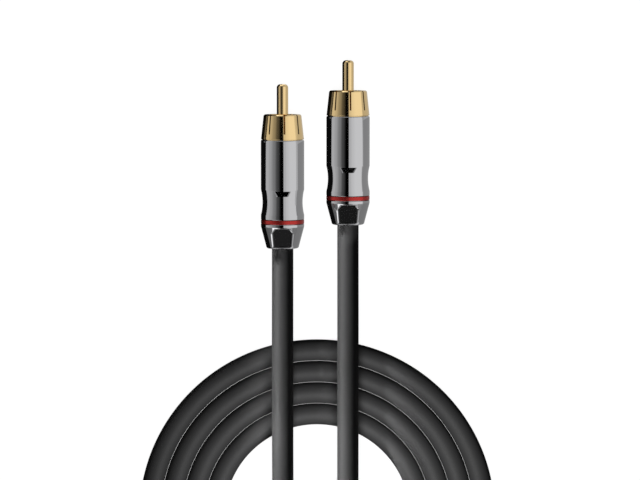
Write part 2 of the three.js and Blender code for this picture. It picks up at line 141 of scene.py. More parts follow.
class AUDIOCABLE_PG_cord(bpy.types.PropertyGroup):
    """Sizes of the cable and its coil."""

    diameter: length("Cable diameter", "Diameter over the jacket", 5.9 * MM)
    turn_gap: length("Turn gap", "Gap between neighbouring turns", 0.05 * MM)
    turns: number("Turns", "How many turns the coil has", 4, min=1, max=12)
    floor_play: length("Floor play", "Gap between the cable and the table", 0.04 * MM)
    rest_height: length("Height over the coil", "Height of the axis where it lies on the coil",
                        8.95 * MM)


class AUDIOCABLE_PG_finish(bpy.types.PropertyGroup):
    """Colours of the finishes."""

    gold: colour("Gold plate", "Pins and ground collars", (0.85, 0.625, 0.31))
    gunmetal: colour("Gunmetal plate", "Barrels and tail nuts", (0.52, 0.52, 0.53))
    red: colour("Red anodising", "Colour rings", (0.46, 0.035, 0.03))
    jacket: colour("Jacket", "Cable jacket", (0.08, 0.08, 0.081))
    insulator: colour("Insulator", "Discs round the pins", (0.72, 0.7, 0.66))


class AUDIOCABLE_PG_stage(bpy.types.PropertyGroup):
    """The camera, the floor and the light."""

    frame_width: length("Frame width", "Width that the camera takes in", 176.3 * MM)
    camera_distance: length("Camera distance", "Distance from the camera to the plugs", 0.8)
    camera_lean: bearing("Camera lean", "Lean of the camera from straight above",
                         math.radians(4.5))
    key_power: watts("Key lamp", "Power of the low strip on the left for 100 mm", 0.0085)
    key_angle: bearing("Key angle", "Angle of the key lamp from straight above", math.radians(58))
    key_spread: bearing("Key spread", "How widely the key lamp's grid lets its light out",
                        math.radians(12))
    coil_power: watts("Coil lamp", "Power of the small lamp over the coil", 0.032)
    top_power: watts("Top lamp", "Power of the lamp that makes the soft shadow", 1.7)
    ambient: amount("Room light", "Strength of the light from all round", 0.05)


# Small makers that several pieces use

def rounded(corners, closed=True):
    """Profile through corners (radius, station, fillet), each fillet as an arc."""
    count = len(corners)
    points = []
    for i, (r, y, fillet) in enumerate(corners):
        here = Vector((r, y))
        inside = closed or 0 < i < count - 1
        if not fillet or not inside:
            points.append(here)
            continue
        before = Vector(corners[i - 1][:2]) - here
        after = Vector(corners[(i + 1) % count][:2]) - here
        half = before.angle(after) / 2
        reach = min(fillet / math.tan(half), FILLET_SHARE * before.length,
                    FILLET_SHARE * after.length)
        radius = reach * math.tan(half)
        u, v = before.normalized(), after.normalized()
        middle = here + (u + v).normalized() * (radius / math.sin(half))
        start, end = here + u * reach, here + v * reach
        if before.length / 2 > reach + FILLET_SUPPORT:
            points.append(start + u * FILLET_SUPPORT)
        first = start - middle
        turn = first.angle_signed(end - middle)
        for step in range(FILLET_STEPS + 1):
            a = -turn * step / FILLET_STEPS
            points.append(middle + Matrix.Rotation(a, 2) @ first)
        if after.length / 2 > reach + FILLET_SUPPORT:
            points.append(end + v * FILLET_SUPPORT)
    return points


def lathe(name, profile, place, closed=True, segments=ROUND_SEGMENTS):
    """A body turned round the plug's axis, which runs along Y through place."""
    bm = bmesh.new()
    angles = [2 * math.pi * i / segments for i in range(segments)]
    rings = [
        [bm.verts.new(place + Vector((r * math.sin(a), y, r * math.cos(a)))) for a in angles]
        for r, y in profile
    ]
    pairs = list(zip(rings, rings[1:])) + ([(rings[-1], rings[0])] if closed else [])
    for low, high in pairs:
        for i in range(segments):
            j = (i + 1) % segments
            bm.faces.new((low[i], low[j], high[j], high[i]))
    bmesh.ops.remove_doubles(bm, verts=bm.verts, dist=WELD_DISTANCE)
    bmesh.ops.dissolve_degenerate(bm, edges=bm.edges, dist=SLIVER_DISTANCE)
    bmesh.ops.recalc_face_normals(bm, faces=bm.faces)
    return finished_object(name, bm)


def finished_object(name, bm):
    mesh = bpy.data.meshes.new(name)
    bm.to_mesh(mesh)
    bm.free()
    shade(mesh)
    thing = bpy.data.objects.new(name, mesh)
    bpy.context.scene.collection.objects.link(thing)
    return thing


def shade(mesh):
    mesh.shade_smooth()
    mesh.set_sharp_from_angle(angle=SHARP_ANGLE)


def quarter_turn(steps):
    """Angles from nothing to a right angle."""
    return [math.pi / 2 * i / steps for i in range(steps + 1)]


def trapezium(rear, rear_half, front, front_half):
    """An outline in X and station, from its rear and half its width there to its front."""
    return [(-rear_half, rear), (rear_half, rear), (front_half, front), (-front_half, front)]


def prism(name, outline, low, high, place, flare=0.0):
    """An upright prism: outline in X and station, from low to high above the plug's axis.

    Its left and right walls lean outwards, and the flare is how much wider it is on top."""
    bm = bmesh.new()
    floor = [bm.verts.new(place + Vector((x, y, low))) for x, y in outline]
    top = [
        bm.verts.new(place + Vector((x + math.copysign(flare / 2, x), y, high)))
        for x, y in outline
    ]
    bm.faces.new(floor)
    bm.faces.new(top)
    for i in range(len(outline)):
        j = (i + 1) % len(outline)
        bm.faces.new((floor[i], floor[j], top[j], top[i]))
    bmesh.ops.recalc_face_normals(bm, faces=bm.faces)
    return finished_object(name, bm)


def carve(thing, cutter):
    """Cuts the cutter out of the thing, and removes the cutter."""
    boolean = thing.modifiers.new("carve", "BOOLEAN")
    boolean.operation = "DIFFERENCE"
    boolean.solver = "EXACT"
    boolean.object = cutter
    settle(thing)
    shade(thing.data)
    bpy.data.objects.remove(cutter)


def settle(thing):
    """Turns the thing's modifiers into plain mesh."""
    seen = thing.evaluated_get(bpy.context.evaluated_depsgraph_get())
    mesh = bpy.data.meshes.new_from_object(seen)
    thing.modifiers.clear()
    thing.data = mesh


def paint(thing, material):
    thing.data.materials.clear()
    thing.data.materials.append(material)


def place_piece(thing, slot, *nodes):
    """The piece rides on the only body and stands for its CAD nodes. Its slot is not used."""
    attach(thing, "root")
    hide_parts(*nodes)


class NodeMaker:
    """Adds and links the nodes of one tree."""

    def __init__(self, tree):
        self.tree = tree

    def add(self, kind, *values, out=0, **settings):
        """A node with its settings, its inputs by position or as (name, value)."""
        node = self.tree.nodes.new(kind)
        for key, value in settings.items():
            setattr(node, key, value)
        for i, value in enumerate(values):
            socket = node.inputs[i]
            if isinstance(value, tuple) and len(value) == 2 and isinstance(value[0], str):
                socket, value = node.inputs[value[0]], value[1]
            if isinstance(value, bpy.types.NodeSocket):
                self.tree.links.new(value, socket)
            elif value is not None:
                socket.default_value = value
        return node.outputs[out]

    def maths(self, operation, *values, clamp=False):
        return self.add("ShaderNodeMath", *values, operation=operation, use_clamp=clamp)


def new_geometry_tree(name, *numbers):
    """A Geometry Nodes tree with an axis, a count, these numbers and a material as inputs."""
    tree = bpy.data.node_groups.new(name, "GeometryNodeTree")
    kinds = {"Geometry": "Geometry", "Axis": "Vector", "Count": "Int",
             **dict.fromkeys(numbers, "Float"), "Material": "Material"}
    for label, kind in kinds.items():
        tree.interface.new_socket(label, in_out="INPUT", socket_type=f"NodeSocket{kind}")
    tree.interface.new_socket("Geometry", in_out="OUTPUT", socket_type="NodeSocketGeometry")
    return tree, NodeMaker(tree), tree.nodes.new("NodeGroupInput").outputs


def end_tree(maker, geometry, material):
    """Realizes what the tree made and gives it its material."""
    real = maker.add("GeometryNodeRealizeInstances", geometry)
    painted = maker.add("GeometryNodeSetMaterial", real, ("Material", material))
    out = maker.tree.nodes.new("NodeGroupOutput")
    maker.tree.links.new(painted, out.inputs[0])


def run_tree(thing, tree, values):
    """Runs the tree on the thing with these inputs and keeps the result as plain mesh."""
    modifier = thing.modifiers.new(tree.name, "NODES")
    modifier.node_group = tree
    for label, value in values.items():
        modifier[tree.interface.items_tree[label].identifier] = value
    thing.update_tag()
    bpy.context.view_layer.update()
    settle(thing)


# Finishes

TURNED, EVEN = (1.0, 14.0, 1.0), (1.0, 1.0, 1.0)
BROAD_GRAIN = 14
NOISE_RANGE = (0.3, 0.7)
LEAST_ROUGHNESS = 0.02


def new_material(name):
    material = bpy.data.materials.new(name)
    material.use_nodes = True
    tree = material.node_tree
    tree.nodes.clear()
    return material, NodeMaker(tree)


def end_material(maker, shader):
    out = maker.tree.nodes.new("ShaderNodeOutputMaterial")
    maker.tree.links.new(shader, out.inputs["Surface"])


def finish(name, tint, metallic, roughness, stretch, scale, spread, rough_spread, bump,
           specular=0.5):
    """A finish whose fine grain varies the colour, the roughness and the surface."""
    material, maker = new_material(name)
    place = maker.add("ShaderNodeTexCoord", out=3)
    mapped = maker.add("ShaderNodeMapping", place, ("Scale", stretch))
    fine = maker.add("ShaderNodeTexNoise", mapped, ("Scale", scale), ("Detail", 4.0),
                     ("Roughness", 0.55))
    broad = maker.add("ShaderNodeTexNoise", place, ("Scale", scale / BROAD_GRAIN),
                      ("Detail", 2.0))
    dark = [c * (1 - spread) for c in tint] + [1.0]
    light = [min(1.0, c * (1 + spread)) for c in tint] + [1.0]
    colours = maker.add("ShaderNodeMix", ("Factor", broad), out=2, data_type="RGBA")
    colours.node.inputs[6].default_value = dark
    colours.node.inputs[7].default_value = light
    rough = maker.add(
        "ShaderNodeMapRange", fine, *NOISE_RANGE,
        max(LEAST_ROUGHNESS, roughness - rough_spread), roughness + rough_spread,
    )
    raised = maker.add("ShaderNodeBump", ("Strength", 1.0), ("Distance", bump),
                       ("Height", fine))
    shader = maker.add(
        "ShaderNodeBsdfPrincipled", ("Base Color", colours), ("Metallic", metallic),
        ("Roughness", rough), ("Specular IOR Level", specular), ("Normal", raised),
    )
    end_material(maker, shader)
    return material


def make_finishes(colours):
    """Every finish of the object, by name."""
    dark_plastic, film = (0.03, 0.032, 0.035), (0.42, 0.47, 0.52)
    copper, tin = (0.72, 0.31, 0.16), (0.6, 0.6, 0.62)
    # Tint, metallic, roughness, grain's stretch and scale, spread of colour and of roughness,
    # height of the grain, and specular level where it isn't the usual one
    rows = {
        "gold plate": (colours.gold, 1.0, 0.11, TURNED, 900.0, 0.02, 0.02, 0.2 * MICRON),
        "gunmetal plate": (colours.gunmetal, 1.0, 0.07, TURNED, 900.0, 0.02, 0.01, 0.1 * MICRON),
        "red anodising": (colours.red, 0.8, 0.3, TURNED, 900.0, 0.06, 0.05, 2 * MICRON),
        "cable jacket": (colours.jacket, 0.0, 0.66, EVEN, 2600.0, 0.05, 0.05, 10 * MICRON, 0.7),
        "white insulator": (colours.insulator, 0.0, 0.45, TURNED, 700.0, 0.04, 0.06, 4 * MICRON),
        "collet plastic": (dark_plastic, 0.0, 0.5, EVEN, 900.0, 0.1, 0.06, 4 * MICRON),
        "sleeve film": (film, 0.0, 0.35, EVEN, 500.0, 0.05, 0.05, 2 * MICRON),
        "bare copper": (copper, 1.0, 0.28, TURNED, 1500.0, 0.08, 0.08, 6 * MICRON),
        "tinned metal": (tin, 1.0, 0.35, EVEN, 1800.0, 0.08, 0.1, 10 * MICRON),
    }
    return {name: finish(name, *row) for name, row in rows.items()}


# Filled by the operator that runs first
FINISHES = {}


# Pieces of a plug

def turned_pin(side, sizes):
    """The centre pin, with its shoulder and the solder cup behind."""
    r, round_ = sizes.pin_radius, sizes.pin_tip_round
    cup, bore, shoulder = 1.3 * MM, 0.95 * MM, r + 0.45 * MM
    arc = [
        Vector((r - round_ + round_ * math.sin(a), PIN_TIP - round_ + round_ * math.cos(a)))
        for a in reversed(quarter_turn(12))
    ]
    body = rounded([
        (0.0, CUP_FLOOR, 0), (bore, CUP_FLOOR, 0), (bore, CUP_REAR, 0), (cup, CUP_REAR, 0),
        (cup, PIN_SHOULDER_REAR, 0), (shoulder, PIN_SHOULDER_REAR, 0.05 * MM),
        (shoulder, PIN_SHOULDER_FRONT, 0.05 * MM), (r, PIN_SHOULDER_FRONT, 0),
    ], closed=False)
    support = Vector((r, PIN_TIP - round_ - FILLET_SUPPORT))
    profile = [*body, support, *arc, Vector((0.0, PIN_TIP))]
    place = PLACES[side]
    pin = lathe(f"pin_{side}", profile, place, closed=False)
    reach, cup_opening = cup + MM, 0.2 * MM
    carve(pin, prism("cup opening", trapezium(CUP_REAR - MM, reach, CUP_FLOOR, reach),
                     cup_opening, reach, place))
    return pin


def slit_tree():
    """Saws slits round a skirt, open at its rim."""
    tree, maker, of = new_geometry_tree("saw_slits", "Width", "Length", "Rim", "Phase", "Reach")
    m, margin = maker.maths, 1.0 * MM
    long = m("ADD", of["Length"], margin)
    size = maker.add("ShaderNodeCombineXYZ", of["Width"], long, of["Reach"])
    blade = maker.add("GeometryNodeMeshCube", size)
    along_axis = m("SUBTRACT", m("ADD", of["Rim"], margin), m("MULTIPLY", long, 0.5))
    up = m("MULTIPLY", of["Reach"], 0.5)
    shift = maker.add("ShaderNodeCombineXYZ", 0.0, along_axis, up)
    moved = maker.add("GeometryNodeTransform", blade, ("Translation", shift))
    points = maker.add("GeometryNodeMeshLine", of["Count"], ("Start Location", of["Axis"]),
                       ("Offset", (0.0, 0.0, 0.0)))
    step = m("DIVIDE", 2 * math.pi, of["Count"])
    angle = m("MULTIPLY_ADD", maker.add("GeometryNodeInputIndex"), step, of["Phase"])
    turn = maker.add("ShaderNodeCombineXYZ", 0.0, angle, 0.0)
    blades = maker.add("GeometryNodeInstanceOnPoints", points, ("Instance", moved),
                       ("Rotation", turn))
    real = maker.add("GeometryNodeRealizeInstances", blades)
    cut = maker.add("GeometryNodeMeshBoolean", ("Mesh 1", of["Geometry"]), ("Mesh 2", real),
                    operation="DIFFERENCE", solver="EXACT")
    end_tree(maker, cut, of["Material"])
    return tree


def turned_collar(side, sizes, tree):
    """The ground collar: groove, tapered skirt with slits, and the tray behind."""
    step_in, groove_width, groove_depth = 0.05 * MM, 0.15 * MM, 0.35 * MM
    window_wall, window_floor = 0.6 * MM, -0.6 * MM
    rear, radius = BARREL_FRONT + SEAM, sizes.barrel_radius - step_in
    groove, neck = rear + groove_width, radius - groove_depth
    profile = rounded([
        (SEAT_BORE, TRAY_REAR, 0), (TRAY_RADIUS, TRAY_REAR, 0), (TRAY_RADIUS, THREAD_REAR, 0),
        (THREAD_RADIUS, THREAD_REAR, 0), (THREAD_RADIUS, rear, 0),
        (neck, rear, 0), (neck, groove, 0), (radius, groove, 0.08 * MM),
        (sizes.rim_radius, RIM - RIM_CHAMFER, 0.04 * MM),
        (sizes.rim_radius - RIM_CHAMFER, RIM, 0.04 * MM),
        (sizes.collar_bore, RIM, 0.18 * MM), (sizes.collar_bore, SOCKET_FLOOR, 0),
        (SEAT_BORE, SOCKET_FLOOR, 0),
    ])
    place = PLACES[side]
    collar = lathe(f"collar_{side}", profile, place)
    reach = TRAY_RADIUS + MM
    carve(collar, prism(
        "tray opening", trapezium(CLAMP_FRONT, reach, THREAD_REAR - window_wall, reach),
        window_floor, reach, place,
    ))
    run_tree(collar, tree, {
        "Axis": place, "Count": sizes.slit_count, "Width": sizes.slit_width,
        "Length": sizes.slit_length, "Rim": RIM, "Phase": sizes.slit_phase,
        "Reach": radius + MM, "Material": FINISHES["gold plate"],
    })
    shade(collar.data)
    return collar


def turned_insulator(side, sizes):
    """The disc and hub that hold the pin in the collar."""
    rear, flange, thickness = SOCKET_FLOOR + PLAY, sizes.collar_bore - PLAY, 1.0 * MM
    front = rear + thickness
    profile = rounded([
        (INSULATOR_BORE, THREAD_REAR, 0), (INSULATOR_RADIUS, THREAD_REAR, 0),
        (INSULATOR_RADIUS, rear, 0), (flange, rear, 0), (flange, front, 0.1 * MM),
        (INSULATOR_BORE, front, 0.05 * MM),
    ])
    return lathe(f"insulator_{side}", profile, PLACES[side])


def waist_points(sizes):
    """The waist is one arc between its edges, deepest in the middle."""
    half, depth = sizes.waist_length / 2, sizes.waist_depth
    radius = (half * half + depth * depth) / (2 * depth)
    span = math.asin(half / radius)
    steps, edge = 28, 0.35 * MM
    points = []
    for i in range(steps + 1):
        a = span * (2 * i / steps - 1)
        points.append((
            sizes.barrel_radius - depth + radius - radius * math.cos(a),
            WAIST_REAR + half + radius * math.sin(a),
            edge if i in (0, steps) else 0,
        ))
    return points


def turned_barrel(side, sizes):
    """The barrel shell: waist, notch, thread bore in front and shoulder behind."""
    r = sizes.barrel_radius
    thread_relief, bevel_length, bevel_depth = 0.3 * MM, 0.28 * MM, 0.16 * MM
    rear, thread_floor, hole = RING_FRONT + SEAM, THREAD_REAR - thread_relief, CABLE_BORE + PLAY
    profile = rounded([
        (REAR_BORE, rear, 0), (r, rear, EDGE), *waist_points(sizes),
        (r, BARREL_FRONT - bevel_length, 0), (r - bevel_depth, BARREL_FRONT, 0.03 * MM),
        (FRONT_BORE, BARREL_FRONT, 0), (FRONT_BORE, thread_floor, 0),
        (CHAMBER_BORE, thread_floor, 0), (CHAMBER_BORE, SHOULDER_FRONT, 0),
        (hole, SHOULDER_FRONT, 0), (hole, SHOULDER_REAR, 0), (REAR_BORE, SHOULDER_REAR, 0),
    ])
    place = PLACES[side]
    barrel = lathe(f"barrel_{side}", profile, place)
    behind_edge, floor_inset = 0.3 * MM, 0.4 * MM
    wall_lean = 1.2  # outwards, for each step up
    wide = sizes.notch_width / 2 - floor_inset
    narrow = wide - sizes.notch_taper / 2
    front = WAIST_REAR + sizes.waist_length - behind_edge
    back = front - sizes.notch_length
    low, high = r - sizes.notch_depth, r + MM
    carve(barrel, prism("notch", trapezium(back, narrow, front, wide), low, high, place,
                        flare=2 * wall_lean * (high - low)))
    return barrel


def turned_ring(side, sizes):
    """The colour ring between the barrel and the tail nut."""
    rear, front, r = RING_REAR + SEAM, RING_FRONT - SEAM, sizes.barrel_radius
    profile = rounded([(REAR_BORE, rear, 0), (r, rear, EDGE), (r, front, EDGE),
                       (REAR_BORE, front, 0)])
    return lathe(f"colour_ring_{side}", profile, PLACES[side])


def flat_tree():
    """Sinks wrench flats round a cone, parallel to it, with their front corners cut off."""
    tree, maker, of = new_geometry_tree(
        "wrench_flats", "Depth", "Rear radius", "Slope", "Cone rear", "Rear", "Front",
        "Top width", "Corner slope", "Edge", "Wall",
    )
    m, least_cosine = maker.maths, 0.2
    split = maker.add(
        "ShaderNodeSeparateXYZ",
        maker.add("ShaderNodeVectorMath", maker.add("GeometryNodeInputPosition"), of["Axis"],
                  operation="SUBTRACT"),
    ).node
    x, y, z = split.outputs
    r = m("SQRT", m("ADD", m("MULTIPLY", x, x), m("MULTIPLY", z, z)))
    step = m("DIVIDE", 2 * math.pi, of["Count"])
    azimuth = m("ARCTAN2", x, z)
    off = m("SUBTRACT", azimuth, m("MULTIPLY", m("ROUND", m("DIVIDE", azimuth, step)), step))
    aside = m("ABSOLUTE", m("MULTIPLY", r, m("SINE", off)))
    cone = m("MULTIPLY_ADD", m("SUBTRACT", y, of["Cone rear"]), of["Slope"], of["Rear radius"])
    drop = m("DIVIDE", of["Depth"], m("COSINE", m("ARCTANGENT", of["Slope"])))
    flat = m("DIVIDE", m("SUBTRACT", cone, drop), m("MAXIMUM", m("COSINE", off), least_cosine))
    past = m("MAXIMUM", m("SUBTRACT", aside, m("MULTIPLY", of["Top width"], 0.5)), 0.0)
    front = m("SUBTRACT", of["Front"], m("MULTIPLY", past, of["Corner slope"]))

    def inside(distance):
        t = m("ADD", m("DIVIDE", distance, of["Wall"]), 0.5, clamp=True)
        return m("MULTIPLY", m("MULTIPLY", t, t), m("SUBTRACT", 3.0, m("MULTIPLY", t, 2.0)))

    mask = m("MULTIPLY", inside(m("SUBTRACT", front, y)), inside(m("SUBTRACT", y, of["Rear"])))
    sunk = m("SMOOTH_MIN", r, flat, of["Edge"])
    radius = m("MULTIPLY_ADD", mask, m("SUBTRACT", sunk, r), r)
    share = m("DIVIDE", radius, r)
    moved = maker.add(
        "ShaderNodeVectorMath",
        maker.add("ShaderNodeCombineXYZ", m("MULTIPLY", x, share), y, m("MULTIPLY", z, share)),
        of["Axis"], operation="ADD",
    )
    shaped = maker.add("GeometryNodeSetPosition", of["Geometry"], ("Position", moved))
    end_tree(maker, shaped, of["Material"])
    return tree


def turned_nut(side, sizes, tree):
    """The tail nut: rounded lip, cone with wrench flats, and the spigot into the barrel."""
    r = sizes.barrel_radius
    taper, lip = 1.42 * MM, 0.6 * MM
    rear_radius = r - taper
    slope = taper / (CONE_FRONT - CONE_REAR)
    front_edge = RING_REAR - SEAM
    seat_back, seat_front, seat_radius = 1.8 * MM, 6.2 * MM, CABLE_BORE + 0.25 * MM
    lip_arc = [
        (rear_radius - lip + lip * math.sin(a), CONE_REAR - lip * math.cos(a), 0)
        for a in quarter_turn(10)
    ]
    # Rows for the flats to bend, close together where the flats end
    fine_from, fine, coarse = 3.6 * MM, 0.05 * MM, 0.2 * MM
    rows, station = [], CONE_REAR
    while station < CONE_FRONT - EDGE:
        station += fine if station > fine_from else coarse
        rows.append((rear_radius + slope * (station - CONE_REAR), station, 0))
    profile = rounded([
        (CABLE_BORE, 0.0, 0.1 * MM), *lip_arc, *rows, (r, CONE_FRONT, 0.4 * MM),
        (r, front_edge, EDGE), (SPIGOT_RADIUS, front_edge, 0),
        (SPIGOT_RADIUS, SPIGOT_FRONT, 0), (SPIGOT_BORE, SPIGOT_FRONT, 0),
        (SPIGOT_BORE, seat_front, 0), (seat_radius, seat_back, 0), (CABLE_BORE, seat_back, 0),
    ])
    place = PLACES[side]
    nut = lathe(f"tail_nut_{side}", profile, place, segments=NUT_SEGMENTS)
    run_tree(nut, tree, {
        "Axis": place, "Count": sizes.flat_count, "Depth": sizes.flat_depth,
        "Rear radius": rear_radius, "Slope": slope, "Cone rear": CONE_REAR,
        "Rear": FLAT_REAR, "Front": FLAT_FRONT, "Top width": sizes.flat_top_width,
        "Corner slope": FLAT_CORNER_SLOPE, "Edge": sizes.flat_softness, "Wall": FLAT_WALL,
        "Material": FINISHES["gunmetal plate"],
    })
    return nut


# The cable

def smooth(t):
    t = min(1.0, max(0.0, t))
    return t * t * (3 - 2 * t)


def cord_route(sizes):
    """The cable's centreline from the left plug to the right one, as points a few mm apart."""
    radius = sizes.diameter / 2
    top, floor = sizes.rest_height, radius + sizes.floor_play
    pitch = sizes.diameter + sizes.turn_gap
    centre = (COIL_BOX[0] + COIL_BOX[1]) / 2
    first = (COIL_BOX[1].x - COIL_BOX[0].x) / 2 - sizes.turns * pitch + radius
    last = first + pitch * (sizes.turns - 1)
    left, right = PLACES["left"], PLACES["right"]
    points = []

    def add(x, y, z):
        points.append(Vector((x, y, z)))

    def stations(start, stops):
        """Stations from start on, in so many steps up to each stop (station, steps)."""
        for stop, steps in stops:
            for i in range(steps):
                yield start + (stop - start) * i / steps
            start = stop

    # Out of the left plug, over the far side of the coil and down to the table in its middle
    straight_end, rise_start, rise_end = left.y - 3 * MM, left.y - 4 * MM, -54 * MM
    dive_start, dive_end = -77 * MM, centre.y - 3 * MM
    for y in stations(left.y + JACKET_END, (
        (straight_end, 3), (rise_end, 5), (dive_start, 4), (dive_end, 6),
    )):
        rise = smooth((rise_start - y) / (rise_start - rise_end))
        dive = smooth((dive_start - y) / (dive_start - dive_end))
        add(left.x, y, left.z + (top - left.z) * rise - (top - floor) * dive)

    # One sweep into the innermost turn, which it meets without a kink
    dx, dy = left.x - centre.x, dive_end - centre.y
    sweep = (first ** 2 - dx ** 2 - dy ** 2) / (2 * (first + dx))
    hub = Vector((left.x + sweep, dive_end, 0))
    join = math.atan2(hub.y - centre.y, hub.x - centre.x)
    count = 9
    for i in range(count):
        a = math.pi + (math.pi + join) * i / count
        add(hub.x + sweep * math.cos(a), hub.y + sweep * math.sin(a), floor)

    # The turns are round, and the cable steps out by one cable's width on the near side
    step_start, step_end = math.radians(215), math.radians(325)
    total = step_start - join + 2 * math.pi * (sizes.turns - 1)
    climb_before, climb_after = 18 * MM, 24 * MM
    climb = climb_before + climb_after
    count = round(total / math.radians(12))
    for i in range(count):
        a = join + total * i / count
        behind = (a - step_start) / (2 * math.pi)
        turn = math.floor(behind)
        share = (behind - turn) * 2 * math.pi / (step_end - step_start)
        r = first + pitch * (turn + smooth(share) if turn >= 0 else 0)
        to_go = (join + total - a) * last
        up = smooth((climb_before - to_go) / climb)
        add(centre.x + r * math.cos(a), centre.y + r * math.sin(a), floor + (top - floor) * up)

    # Up over the turns, across them and straight back to the right plug
    bend = (right.x - centre.x - last * math.cos(step_start)) / (1 - math.cos(step_start))
    bend_hub = Vector((right.x - bend, centre.y + (last - bend) * math.sin(step_start), 0))
    count = 12
    for i in range(count):
        turn = (2 * math.pi - step_start) * i / count
        a = step_start + turn
        up = smooth((climb_before + turn * bend) / climb)
        add(bend_hub.x + bend * math.cos(a), bend_hub.y + bend * math.sin(a),
            floor + (top - floor) * up)
    level_middle, sink_start, sink_end = -75 * MM, -50 * MM, right.y - 4 * MM
    end = right.y + JACKET_END
    for y in stations(bend_hub.y, (
        (level_middle, 5), (sink_start, 4), (sink_end, 5), (end, 3),
    )):
        sink = smooth((y - sink_start) / (sink_end - sink_start))
        add(right.x, y, top - (top - right.z) * sink)
    add(right.x, end, right.z)
    return points


def lay_cord(sizes):
    """The cable as one open curve with round handles."""
    points = cord_route(sizes)
    curve = bpy.data.curves.new("cable", "CURVE")
    curve.dimensions = "3D"
    curve.resolution_u = 8
    curve.bevel_depth = sizes.diameter / 2
    curve.bevel_resolution = 10
    curve.use_fill_caps = True
    spline = curve.splines.new("BEZIER")
    spline.bezier_points.add(len(points) - 1)
    for i, (knot, here) in enumerate(zip(spline.bezier_points, points)):
        before = points[max(i - 1, 0)]
        after = points[min(i + 1, len(points) - 1)]
        way = (after - before).normalized()
        knot.co = here
        knot.handle_left_type = knot.handle_right_type = "FREE"
        knot.handle_left = here - way * (here - before).length / 3
        knot.handle_right = here + way * (after - here).length / 3
    cord = bpy.data.objects.new("cable", curve)
    bpy.context.scene.collection.objects.link(cord)
    run = sum((b - a).length for a, b in zip(points, points[1:]))
    return cord, run


# Operators, one for each group of like pieces

PICTURE_CENTRE = (1.3 * MM, -23.6 * MM)  # in x and y


def make_pair(context, turned, material, slot, node):
    """One such piece for each plug, which stands for its node."""
    for side in SIDES:
        piece = turned(side, context.scene.audiocable_plug)
        paint(piece, FINISHES[material])
        place_piece(piece, slot, f"{side}_{node}")
    return {"FINISHED"}


class AUDIOCABLE_OT_camera(bpy.types.Operator):
    """Makes the finishes and puts the camera over the plugs"""

    bl_idname = "audiocable.camera"
    bl_label = "Camera"

    def execute(self, context):
        stage = context.scene.audiocable_stage
        FINISHES.update(make_finishes(context.scene.audiocable_finish))
        data = bpy.data.cameras.new("camera")
        data.sensor_width = 36.0
        data.lens = data.sensor_width * stage.camera_distance / stage.frame_width
        data.clip_start, data.clip_end = 0.01, 20.0
        camera = bpy.data.objects.new("camera", data)
        lean = stage.camera_lean
        target = Vector((*PICTURE_CENTRE, PLACES["left"].z))
        back = Vector((0.0, math.sin(lean), math.cos(lean)))
        camera.location = target + back * stage.camera_distance
        camera.rotation_euler = (-lean, 0.0, 0.0)
        context.scene.collection.objects.link(camera)
        context.scene.camera = camera
        return {"FINISHED"}


class AUDIOCABLE_OT_cable(bpy.types.Operator):
    """Lays the cable in its coil, from the left plug to the right one"""

    bl_idname = "audiocable.cable"
    bl_label = "Cable"

    def execute(self, context):
        sizes = context.scene.audiocable_cord
        cord, run = lay_cord(sizes)
        paint(cord, FINISHES["cable jacket"])
        place_piece(cord, "cable_jacket", "cable_lead_left", "cable_lead_right", "cable_coil")
        return {"FINISHED"}


class AUDIOCABLE_OT_pins(bpy.types.Operator):
    """Makes the centre pins"""

    bl_idname = "audiocable.pins"
    bl_label = "Pins"

    def execute(self, context):
        return make_pair(context, turned_pin, "gold plate", "gold_plate", "center_pin")


class AUDIOCABLE_OT_collars(bpy.types.Operator):
    """Makes the ground collars and saws their slits"""

    bl_idname = "audiocable.collars"
    bl_label = "Ground collars"

    def execute(self, context):
        tree = slit_tree()
        for side in SIDES:
            collar = turned_collar(side, context.scene.audiocable_plug, tree)
            place_piece(collar, "gold_plate", f"{side}_ground_collar")
        return {"FINISHED"}


class AUDIOCABLE_OT_insulators(bpy.types.Operator):
    """Makes the insulators that hold the pins"""

    bl_idname = "audiocable.insulators"
    bl_label = "Insulators"

    def execute(self, context):
        return make_pair(context, turned_insulator, "white insulator", "white_insulator",
                         "pin_insulator")


class AUDIOCABLE_OT_barrels(bpy.types.Operator):
    """Makes the barrels with their waists and notches"""

    bl_idname = "audiocable.barrels"
    bl_label = "Barrels"

    def execute(self, context):
        return make_pair(context, turned_barrel, "gunmetal plate", "gunmetal_plate",
                         "barrel_shell")


class AUDIOCABLE_OT_rings(bpy.types.Operator):
    """Makes the colour rings"""

    bl_idname = "audiocable.rings"
    bl_label = "Colour rings"

    def execute(self, context):
        return make_pair(context, turned_ring, "red anodising", "red_anodised", "colour_ring")


class AUDIOCABLE_OT_nuts(bpy.types.Operator):
    """Makes the tail nuts and sinks their wrench flats"""

    bl_idname = "audiocable.nuts"
    bl_label = "Tail nuts"

    def execute(self, context):
        tree = flat_tree()
        for side in SIDES:
            nut = turned_nut(side, context.scene.audiocable_plug, tree)
            place_piece(nut, "gunmetal_plate", f"{side}_tail_nut")
        return {"FINISHED"}


INNER_FINISHES = {
    "cable_collet": "collet plastic",
    "insulating_sleeve": "sleeve film",
    "signal_conductor": "bare copper",
    "conductor_dielectric": "white insulator",
    "shield_braid": "tinned metal",
    "signal_solder": "tinned metal",
    "ground_solder": "tinned metal",
}


class AUDIOCABLE_OT_inner_pieces(bpy.types.Operator):
    """Finishes the pieces inside the plugs"""

    bl_idname = "audiocable.inner_pieces"
    bl_label = "Inner pieces"

    def execute(self, context):
        for side in SIDES:
            for piece, name in INNER_FINISHES.items():
                paint(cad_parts[f"{side}_{piece}"], FINISHES[name])
        return {"FINISHED"}


# The studio

